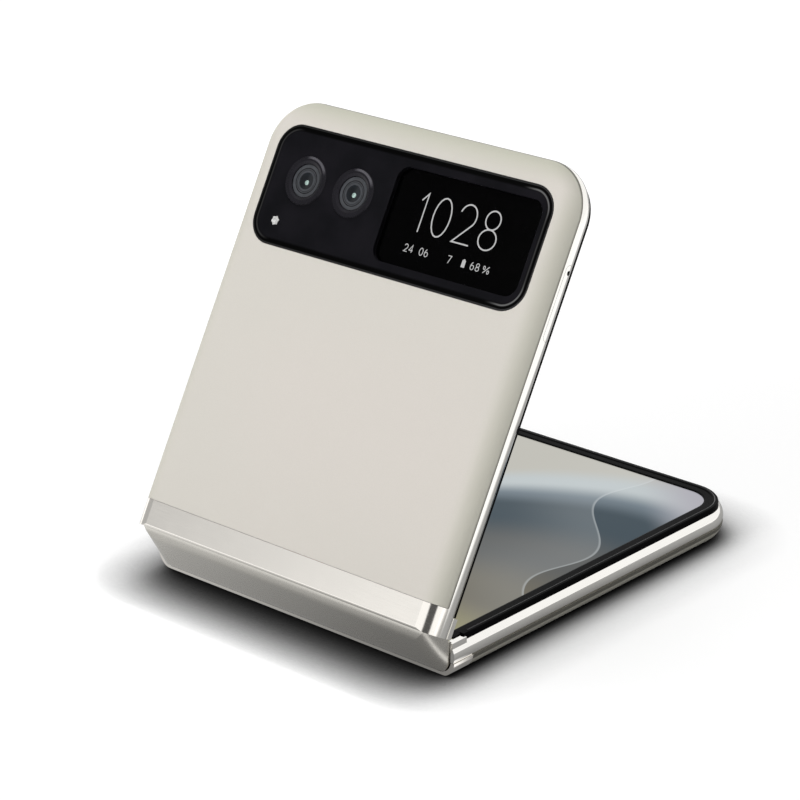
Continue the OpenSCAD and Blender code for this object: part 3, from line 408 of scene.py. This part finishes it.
# The display: one flexible panel under a soft film. It shows a quiet picture of broad soft bands,
# worked out from where a point lies on the opened screen, so that it runs on through the fold.
def screen_finish(name, spot):
    """The film over the lit picture. spot makes the place on the opened screen, across the hinge
    and along the phone from the fold, in millimetres, with the lower half below zero."""
    material, tree, shader = fresh(name)
    across, along = put(tree, "SeparateXYZ", Vector=spot(tree)).outputs[:2]
    wide = put(tree, "CombineXYZ", X=calc(tree, "MULTIPLY", across, 0.022),
               Y=calc(tree, "MULTIPLY", along, 0.013)).outputs[0]
    swirl = put(tree, "TexNoise", Vector=wide, Scale=1.0, Detail=0.0).outputs[0]
    drift = calc(tree, "MULTIPLY_ADD", swirl, 8.0, -4.0)
    bow = calc(tree, "POWER", calc(tree, "MULTIPLY_ADD", across, 0.12, -1.0), 2.0)
    slant = calc(tree, "MULTIPLY_ADD", along, -1.0, calc(tree, "MULTIPLY", across, -0.55))
    slant = calc(tree, "ADD", calc(tree, "ADD", slant, drift), bow)
    slope = calc(tree, "MULTIPLY_ADD", across, 0.4, along)
    lower_bands = ((-8, 8, tone(105, 100, 86)), (12, 28, tone(82, 84, 83)),
                   (32, 46, tone(42, 62, 73)), (52, 60, tone(108, 122, 132)),
                   (58, 65, tone(190, 198, 200)), (66, 74, tone(190, 188, 179)))
    upper_bands = ((8, 34, tone(96, 104, 108)), (34, 52, tone(118, 132, 140)),
                   (56, 72, tone(184, 188, 184)))
    picture = tone(126, 119, 103)
    for line, bands in ((slant, lower_bands), (slope, upper_bands)):
        for start, end, colour in bands:
            picture = blend_colour(tree, ramp(tree, line, start, end), picture, colour)
    corner = ramp(tree, calc(tree, "MULTIPLY_ADD", along, -1.0, across), 92, 110)
    picture = blend_colour(tree, corner, picture, tone(172, 171, 179))
    warm = calc(tree, "MULTIPLY", ramp(tree, along, -16, -2), ramp(tree, across, 6, 30))
    picture = blend_colour(tree, calc(tree, "MULTIPLY", warm, 0.7), picture, tone(150, 146, 96))
    sway = calc(tree, "MULTIPLY", calc(tree, "SINE", calc(tree, "MULTIPLY", along, -0.17)), 4.0)
    wave = calc(tree, "ADD", calc(tree, "MULTIPLY_ADD", along, 0.36, 44.0), sway)
    left_of = calc(tree, "SUBTRACT", wave, across)
    inside = ramp(tree, left_of, -0.1, 0.15)
    veil = calc(tree, "MULTIPLY", inside, ramp(tree, left_of, 26, 0, 0.02, 0.13))
    hem = calc(tree, "MULTIPLY", inside, ramp(tree, left_of, 0.7, 0.25))
    veil = calc(tree, "MULTIPLY_ADD", hem, 0.25, veil)
    picture = blend_colour(tree, veil, picture, tone(214, 220, 222))
    film = put(tree, "TexNoise", Vector=own_place(tree), Scale=420.0, Detail=3.0).outputs[0]
    give(shader, Base_Color=(0.012, 0.012, 0.013, 1), IOR=1.14,
         Emission_Color=picture, Emission_Strength=0.94,
         Roughness=ramp(tree, film, 0.3, 0.7, 0.07, 0.12),
         Normal=put(tree, "Bump", Height=film, Strength=0.5, Distance=4e-6).outputs[0])
    return material


def on_fold(tree):
    """The place kept at each point of the bend, as on_lower and on_upper give it for the panels."""
    return put(tree, "Attribute", {"attribute_name": "opened_place"}).outputs["Vector"]


wear(screen_finish("screen_lower", on_lower), "lower_panel")
wear(screen_finish("screen_upper", on_upper), "upper_panel")

# The bend of the display, from half to half over the hinge, drawn as two fixed strips in the
# opened pose in place of the fold panel, which is hidden.
fold_start, overlap, crease, sheet_thick, view_side = 3.0, 0.02, 0.15, 0.4, 35.2


def round_point(t, radius=1.0):
    """A point of a circle about the origin."""
    return radius * Vector((math.cos(t), math.sin(t)))


def in_hinge(y, z):
    """A point of the upper half's section, y along and z behind its display, seen from the hinge."""
    return Vector((y * math.cos(half_angle) - z * math.sin(half_angle),
                   axis_gap / 2 + y * math.sin(half_angle) + z * math.cos(half_angle)))


apex = -axis_gap / 2 / math.tan(half_angle)
bend_r = (-crease - apex) / (1 / math.sin(half_angle) - 1)
bend_mid = Vector((bend_r - crease, 0))
bend_from = math.pi / 2 + half_angle


def fold_line(depth, flat_steps=6, round_steps=14):
    """The section of one half of the bend at a depth below its face, from the flat panel in."""
    start = in_hinge(fold_start - overlap, depth)
    turn = bend_mid + round_point(bend_from, bend_r + depth)
    flat = [start.lerp(turn, i / flat_steps) for i in range(flat_steps)]
    sweep = math.pi - bend_from
    return flat + [bend_mid + round_point(bend_from + sweep * i / round_steps, bend_r + depth)
                   for i in range(round_steps + 1)]


def bent_strip(name, upper_line, lower_line, half_width, side, material, body):
    """A strip drawn between two lines of a section, with the place on the opened screen kept at
    each point, set in the hinge cover's frame as one fixed piece."""
    points, faces, spots = [], [], []
    count, columns = len(upper_line), 9
    length = [0.0]
    for a, b in zip(upper_line, upper_line[1:]):
        length.append(length[-1] + (b - a).length)
    for line in (upper_line, lower_line):
        for i, p in enumerate(line):
            for c in range(columns):
                x = half_width * (2 * c / (columns - 1) - 1)
                points.append((x, p[0], side * p[1]))
                spots.append((x, side * fold_start * (1 - length[i] / length[-1]), 0))
    layer = count * columns
    for i in range(count - 1):
        for c in range(columns - 1):
            a = i * columns + c
            faces.append((a, a + 1, a + columns + 1, a + columns))
            faces.append(tuple(layer + v for v in (a, a + columns, a + columns + 1, a + 1)))
    for i in range(count - 1):
        for c in (0, columns - 1):
            a = i * columns + c
            faces.append((a, a + columns, layer + a + columns, layer + a))
    for c in range(columns - 1):
        for i in (0, count - 1):
            a = i * columns + c
            faces.append((a, layer + a, layer + a + 1, a + 1))
    made = mesh_piece(name, into(to_spine, points), faces, material, sharp=50)
    kept = made.data.attributes.new("opened_place", "FLOAT_VECTOR", "POINT")
    kept.data.foreach_set("vector", [v for spot in spots for v in spot])
    if body == "upper":
        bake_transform(made)
    else:
        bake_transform(made)
    return made


screen_fold = screen_finish("screen_fold", on_fold)
for half, side in (("lower", -1), ("upper", 1)):
    bend = bent_strip(half + "_display_bend", fold_line(0.0), fold_line(sheet_thick), view_side, side,
                      screen_fold, half)
    if half == "lower":
        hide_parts("fold_panel")

# The ribbon cable under the bend: copper tracks in orange film, looped through the hinge cover
# with slack for the fold.
flex_half, flex_thick, flex_depth = 5.0, 0.12, 0.95
flex_held, flex_free, flex_pull, flex_steps = 14.5, 2.6, 2.4, 16
flex_start = in_hinge(flex_free, flex_depth)
flex_lead = flex_start - round_point(half_angle, flex_pull)
flex_low, flex_floor, flex_middle = Vector((-3.6, 3)), Vector((-3.6, 1.2)), Vector((-3.6, 0))
flex_line = [in_hinge(flex_held, flex_depth)]
for t in (i / flex_steps for i in range(flex_steps + 1)):
    flex_line.append((1 - t) ** 3 * flex_start + 3 * (1 - t) ** 2 * t * flex_lead
                     + 3 * (1 - t) * t * t * flex_low + t ** 3 * flex_floor)
flex_line.append(flex_middle)


def beside(line, offset):
    """A line moved sideways by an offset."""
    out = []
    for i, p in enumerate(line):
        run = (line[min(i + 1, len(line) - 1)] - line[max(i - 1, 0)]).normalized()
        out.append(p + offset * Vector((-run[1], run[0])))
    return out


ribbon = finish("ribbon_film", tone(186, 120, 48), rough=0.3, mottle=0.2, patch=1.2, grain=0.5,
                relief=0.004, stretch=(6, 0.2, 0.2))
for half, side in (("lower", -1), ("upper", 1)):
    cable = bent_strip(half + "_ribbon", beside(flex_line, flex_thick / 2),
                       beside(flex_line, -flex_thick / 2), flex_half, side, ribbon, half)
    if half == "lower":
        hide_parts("hinge_flex")

# The outer window: black glass over the cameras and clear over the second screen, with a ground
# edge. The print under the camera end is a charcoal, and the screen itself is blacker.
window, tree, shader = fresh("outer_window")
x, y = put(tree, "SeparateXYZ", Vector=on_upper(tree)).outputs[:2]
screen_box, window_mid, plain_ior = (-2.7, 31.0, 58.8, 76.6), 67.7, 1.5


def inset(depth, radius, soft):
    """1 over the window's face, a depth in from the rim of its raised plateau."""
    box = (-32.4 + depth, 32.85 - depth, 56.45 + depth, 78.95 - depth)
    return rounded(tree, x, y, box, radius, soft)


screen_area = rounded(tree, x, y, screen_box, 2.5, 0.05)
smear = put(tree, "TexNoise", Vector=own_place(tree), Scale=130.0, Detail=4.0).outputs[0]
print_tone = blend_colour(tree, ramp(tree, smear, 0.3, 0.7), tone(17, 17, 20), tone(24, 23, 27))
print_tone = blend_colour(tree, inset(0.9, 3.7, 0.25), (0.0008, 0.0008, 0.0008, 1), print_tone)
ground_line = calc(tree, "SUBTRACT", inset(0.5, 4.1, 0.1), inset(0.8, 3.8, 0.12))
off_middle = calc(tree, "ABSOLUTE", calc(tree, "SUBTRACT", y, window_mid))
# Painted highlight: the ground edge is made more reflective only by the right-hand corners, and less so at
# the left end.
painted_glint_share = calc(tree, "MULTIPLY", ramp(tree, x, 25, 29), ramp(tree, off_middle, 5, 9, 0.35, 1.0))
painted_glint_share = calc(tree, "MAXIMUM", painted_glint_share, ramp(tree, x, -27, -30, 0.0, 0.4))
ior = calc(tree, "MULTIPLY_ADD", inset(0, 4.6, 0.03), -0.4, plain_ior)
ior = calc(tree, "MULTIPLY_ADD", calc(tree, "MULTIPLY", ground_line, painted_glint_share), 1.3, ior)
give(shader, Base_Color=blend_colour(tree, screen_area, print_tone, (0, 0, 0, 1)), IOR=ior,
     Alpha=calc(tree, "SUBTRACT", 1.0, screen_area), Roughness=ramp(tree, smear, 0.3, 0.7, 0.02, 0.07))
wear(window, "outer_glass")
display_black = finish("outer_screen", (0.0005, 0.0005, 0.0006, 1), rough=0.07, mottle=0.2, patch=3,
                       grain=0.3, relief=0.0002, spread=0.03, IOR=1.08)
wear(display_black, "outer_display")

# What the second screen shows: plain figures in thin strokes, a line of small figures and a
# battery sign. They are lit strokes a hair above the panel, under the glass.
lit, tree, shader = fresh("lit_strokes")
dots = put(tree, "TexNoise", Vector=own_place(tree), Scale=9000.0).outputs[0]
give(shader, Base_Color=(0.02, 0.02, 0.02, 1), Roughness=ramp(tree, dots, 0.3, 0.7, 0.3, 0.5),
     Emission_Color=blend_colour(tree, dots, tone(172, 172, 172), tone(204, 204, 204)),
     Emission_Strength=0.9)


def ring_of(cx, cy, rx, ry, start=0, end=360, steps=20):
    """Points round an oval, between two angles in degrees."""
    return [(cx + rx * math.cos(math.radians(t)), cy + ry * math.sin(math.radians(t)))
            for t in (start + (end - start) * i / steps for i in range(steps + 1))]


# Each figure's lines, in shares of its width and height.
figures = {
    "0": [ring_of(0.5, 0.5, 0.5, 0.5)],
    "1": [[(0.1, 0.80), (0.55, 1.0), (0.55, 0.0)]],
    "2": [ring_of(0.5, 0.70, 0.46, 0.30, 165, -38) + [(0.02, 0.0), (0.98, 0.0)]],
    "4": [[(0.72, 0.0), (0.72, 1.0), (0.0, 0.3), (1.0, 0.3)]],
    "6": [ring_of(0.5, 0.31, 0.46, 0.31), ring_of(0.95, 0.33, 0.91, 0.75, 178, 118, 8)],
    "7": [[(0.0, 1.0), (1.0, 1.0), (0.35, 0.0)]],
    "8": [ring_of(0.5, 0.76, 0.40, 0.24), ring_of(0.5, 0.26, 0.48, 0.26)],
}


def stroke(points, faces, line, width, low, high):
    """One flat stroke along a line, mitred at its corners, between two heights."""
    closed = (Vector(line[0]) - Vector(line[-1])).length < 1e-6
    first = len(points)
    for i, p in enumerate(line):
        here = Vector(p)
        before = Vector(line[i - 1]) if i else (Vector(line[-2]) if closed else None)
        after = Vector(line[i + 1]) if i + 1 < len(line) else (Vector(line[1]) if closed else None)
        a = (here - before).normalized() if before is not None else (after - here).normalized()
        b = (after - here).normalized() if after is not None else a
        lean = (Vector((-a[1], a[0])) + Vector((-b[1], b[0]))).normalized()
        reach = width / 2 / max(0.4, lean.dot(Vector((-a[1], a[0]))))
        for side in (1, -1):
            for z in (low, high):
                points.append((here[0] + side * reach * lean[0], here[1] + side * reach * lean[1], z))
    for i in range(len(line) - 1):
        a, b = first + 4 * i, first + 4 * (i + 1)
        faces += [(a + 1, b + 1, b + 3, a + 3), (a, a + 2, b + 2, b), (a, b, b + 1, a + 1),
                  (a + 2, a + 3, b + 3, b + 2)]
    if not closed:
        end = first + 4 * (len(line) - 1)
        faces += [(first, first + 1, first + 3, first + 2), (end, end + 2, end + 3, end + 1)]


glyph_low, glyph_high = 6.074, 6.090
clock_base, clock_high, row_base, row_high = 65.7, 7.2, 61.8, 1.35
clock = [(figure, x, clock_base, wide, clock_high)
         for figure, x, wide in (("1", 3.6, 2.6), ("0", 7.4, 3.9), ("2", 13.0, 4.1), ("8", 18.6, 4.1))]
row = [(figure, x, row_base, wide, row_high)
       for figure, x, wide in (("2", 3.4, 0.8), ("4", 4.6, 0.85), ("0", 7.0, 0.8), ("6", 8.2, 0.8),
                               ("7", 13.6, 0.8), ("6", 19.0, 0.8), ("8", 20.2, 0.8))]
row += [("0", 21.9, 62.45, 0.4, 0.6), ("0", 22.9, row_base, 0.4, 0.6)]
battery_x, battery_top = 17.35, 63.05
signs = [([(22.0, row_base), (23.2, 63.1)], 0.16),
         ([(battery_x, 61.75), (battery_x, battery_top)], 0.8),
         ([(battery_x, battery_top), (battery_x, battery_top + 0.2)], 0.4)]
for name, text, width, more in (("clock_figures", clock, 0.27, []), ("small_figures", row, 0.15, signs)):
    points, faces = [], []
    for figure, x, base, wide, high in text:
        for line in figures[figure]:
            drawn = [(x + wide * px, base + high * py) for px, py in line]
            stroke(points, faces, drawn, width, glyph_low, glyph_high)
    for line, heavy in more:
        stroke(points, faces, line, heavy, glyph_low, glyph_high)
    mesh_piece(name, into(to_upper, points), faces, lit, "upper")

# The two rear cameras: a black anodised ring standing on the glass, with a painted lilac
# highlight on an arc at its upper right, a grey inner collar, stepped black baffles, and a coated
# front element with a small pupil coloured bright greenish white as a painted highlight.
main_x, wide_x, lens_y = -23.2, -11.4, 69.3
pitch = wide_x - main_x
ring_black = finish("lens_ring_metal", tone(15, 14, 19), rough=0.24, mottle=0.1, patch=2, grain=0.2,
                    relief=0.001, IOR=1.3)
tree = ring_black.node_tree
x, y = put(tree, "SeparateXYZ", Vector=on_upper(tree)).outputs[:2]
lens_turn = calc(tree, "MODULO", calc(tree, "ADD", x, pitch / 2 - main_x), pitch)
off_x, off_y = calc(tree, "SUBTRACT", lens_turn, pitch / 2), calc(tree, "SUBTRACT", y, lens_y)
out = span_of(tree, off_x, off_y)
# Painted highlight: the ring's slope is made more reflective and lilac-tinted on an arc at the upper right
# of each lens.
facing = calc(tree, "ADD", calc(tree, "MULTIPLY", off_x, 0.42), calc(tree, "MULTIPLY", off_y, 0.91))
facing = calc(tree, "DIVIDE", facing, out)
slope = calc(tree, "MULTIPLY", ramp(tree, out, 4.05, 4.25), ramp(tree, out, 4.7, 4.55))
painted_highlight_arc = calc(tree, "MULTIPLY", ramp(tree, facing, 0.72, 0.95), slope)
give(tree.nodes["Principled BSDF"], IOR=calc(tree, "MULTIPLY_ADD", painted_highlight_arc, 1.1, 1.3),
     Specular_Tint=(0.93, 0.9, 1, 1))
wear(ring_black, "lens_rings")
camera_well = finish("camera_well", tone(8, 8, 10), rough=0.3, mottle=0.2, patch=1, grain=0.1,
                     relief=0.0005, Specular_IOR_Level=0.1)
wear(camera_well, "lens_glass")
collar_grey = finish("collar_grey", tone(60, 62, 66), rough=0.35, mottle=0.12, patch=1, grain=0.1,
                     relief=0.001, Specular_IOR_Level=0.3)
baffle_black = finish("baffle_black", tone(10, 10, 12), rough=0.5, mottle=0.2, patch=0.6, grain=0.1,
                      relief=0.001, Specular_IOR_Level=0.1)
coated = finish("coated_lens", tone(10, 16, 22), rough=0.06, mottle=0.3, patch=1.2, grain=0.4,
                relief=0.0002, spread=0.02, Specular_IOR_Level=0.3)
# The pupil: a small inner dome, set off the lens's middle, coloured bright greenish white as a painted
# highlight.
pupil_painted_glint = finish("lens_painted_glint", tone(186, 212, 204), rough=0.12, metal=0.7, mottle=0.3, patch=0.5,
                    grain=0.2, relief=0.0006, spread=0.05)


def turned_piece(name, sections, centre, place, body, materials, steps=48):
    """Rings turned about one point: each section has its (radius, height) points and a material
    number."""
    points, faces, which = [], [], []
    for outline, number in sections:
        first = len(points)
        for r, n in outline:
            for k in range(steps):
                t = 2 * math.pi * k / steps
                points.append((centre[0] + r * math.cos(t), centre[1] + r * math.sin(t), n))
        for i in range(len(outline) - 1):
            for k in range(steps):
                a, b = first + i * steps + k, first + i * steps + (k + 1) % steps
                faces.append((a, b, b + steps, a + steps))
                which.append(number)
        faces.append(tuple(range(first, first + steps)))
        faces.append(tuple(range(first + (len(outline) - 1) * steps, first + len(outline) * steps)))
        which += [number, number]
    return mesh_piece(name, into(place, points), faces, materials, body, sharp=35, which=which)


lens_base, cap_r, cap_angle, pupil_r = 6.801, 1.75, math.radians(32), 0.48
collar = [(3.12, 0), (3.12, 0.10), (3.02, 0.15), (2.62, 0.13), (2.5, 0.04)]
baffles = [(2.48, 0), (2.48, 0.05), (2.15, 0.03), (2.1, 0.045), (1.78, 0.02)]
cap = [(cap_r * math.sin(t) / math.sin(cap_angle), 0.02 + 0.9 * (math.cos(t) - math.cos(cap_angle)))
       for t in map(math.radians, (32, 26, 20, 14, 8, 2))]
pupil = [(pupil_r * math.cos(t), 0.14 + 0.12 * math.sin(t))
         for t in map(math.radians, (0, 20, 40, 60, 80))]
collar, baffles, cap, pupil = [[(radius, lens_base + rise) for radius, rise in line]
                               for line in (collar, baffles, cap, pupil)]
for name, x in (("main_lens", main_x), ("wide_lens", wide_x)):
    glass = turned_piece(name, [(collar, 0), (baffles, 1), (cap, 2)], (x, lens_y), to_upper, "upper",
                         [collar_grey, baffle_black, coated])
    painted_glint_dome = turned_piece(name + "_pupil", [(pupil, 0)], (x + 0.35, lens_y - 0.3), to_upper, "upper",
                         pupil_painted_glint, 20)

# The flash: a clear moulded lens with facets over a pale yellow emitter.
flash_clear = finish("flash_clear", tone(204, 204, 202), rough=0.18, mottle=0.2, patch=0.5, grain=0.3,
                     relief=0.01, Specular_IOR_Level=0.6)
wear(flash_clear, "flash_lens")
flash_x, flash_y, facets, swell = -27.2, 60.7, 12, 0.12
flash_rings = ((0.86, 7.0, 0.5), (0.82, 7.1, 0.5), (0.5, 7.17, 0), (0.24, 7.1, 0))
points, faces = [], []
for radius, z, shift in flash_rings:
    for k in range(facets):
        t = 2 * math.pi * (k + shift) / facets
        out = radius * (1 + swell * (-1) ** k)
        points.append((flash_x + out * math.cos(t), flash_y + out * math.sin(t), z))
for i in range(len(flash_rings) - 1):
    for k in range(facets):
        a, b = i * facets + k, i * facets + (k + 1) % facets
        faces += [(a, b, b + facets), (a, b + facets, a + facets)]
faces += [tuple(range(facets)), tuple(range(len(points) - facets, len(points)))]
crystal = mesh_piece("flash_facets", into(to_upper, points), faces, flash_clear, "upper", sharp=5)

# The keys and the card tray: the volume bar and the tray are the frame's metal, and the power
# key is a dark coated fingerprint reader.
key_metal = finish("key_metal", tone(243, 241, 236), rough=0.11, metal=1.0, mottle=0.015, patch=5,
                   grain=0.2, relief=0.0006, spread=0.04, stretch=(1, 0.1, 0.1))
wear(key_metal, "volume_key", "sim_tray")
reader = finish("reader_coating", tone(70, 69, 67), rough=0.3, metal=0.6, mottle=0.05, patch=3,
                grain=0.08, relief=0.0008)
wear(reader, "power_key")

# The parts inside, seen when the phone is taken apart: steel, castings, brass gears, boards,
# cells in foil, black modules and gold contacts.
steel = finish("hinge_steel", tone(176, 177, 180), rough=0.3, metal=1.0, mottle=0.04, patch=3, grain=0.2,
               relief=0.001, stretch=(0.1, 1, 1))
wear(steel, "lower_bracket", "upper_bracket", "lower_plate", "upper_plate", "fold_rest", "torque_clips",
     "usb_socket", "vibration_motor", "board_shield", "sim_socket", "lower_screws", "upper_screws",
     "spine_screws")
casting = finish("hinge_casting", tone(120, 121, 124), rough=0.5, metal=1.0, mottle=0.08, patch=2,
                 grain=0.12, relief=0.004)
wear(casting, "hinge_base")
brass = finish("gear_brass", tone(206, 178, 118), rough=0.28, metal=1.0, mottle=0.06, patch=1.5,
               grain=0.1, relief=0.001)
wear(brass, "lower_pinion", "upper_pinion", "lower_idler", "upper_idler")
foil = finish("battery_foil", tone(58, 58, 62), rough=0.34, mottle=0.12, patch=9, grain=1.2, relief=0.02)
wear(foil, "lower_battery", "upper_battery")
board = finish("board_green", tone(34, 74, 52), rough=0.42, mottle=0.25, patch=1.6, grain=0.3,
               relief=0.01)
wear(board, "lower_board", "upper_board", "flash_board")
black = finish("black_part", tone(30, 30, 32), rough=0.5, mottle=0.15, patch=2, grain=0.15, relief=0.003)
wear(black, "loudspeaker", "earpiece", "main_camera", "wide_camera", "front_camera", "earpiece_mesh")
gold = finish("gold_part", tone(206, 176, 104), rough=0.3, metal=1.0, mottle=0.08, patch=1.5, grain=0.2,
              relief=0.001)
wear(gold, "lower_microphone", "sim_card", "key_switches")
wear(ribbon, "hinge_flex")
wear(screen_fold, "fold_panel")

bpy.context.scene.view_settings.view_transform = "Standard"
bpy.context.view_layer.update()
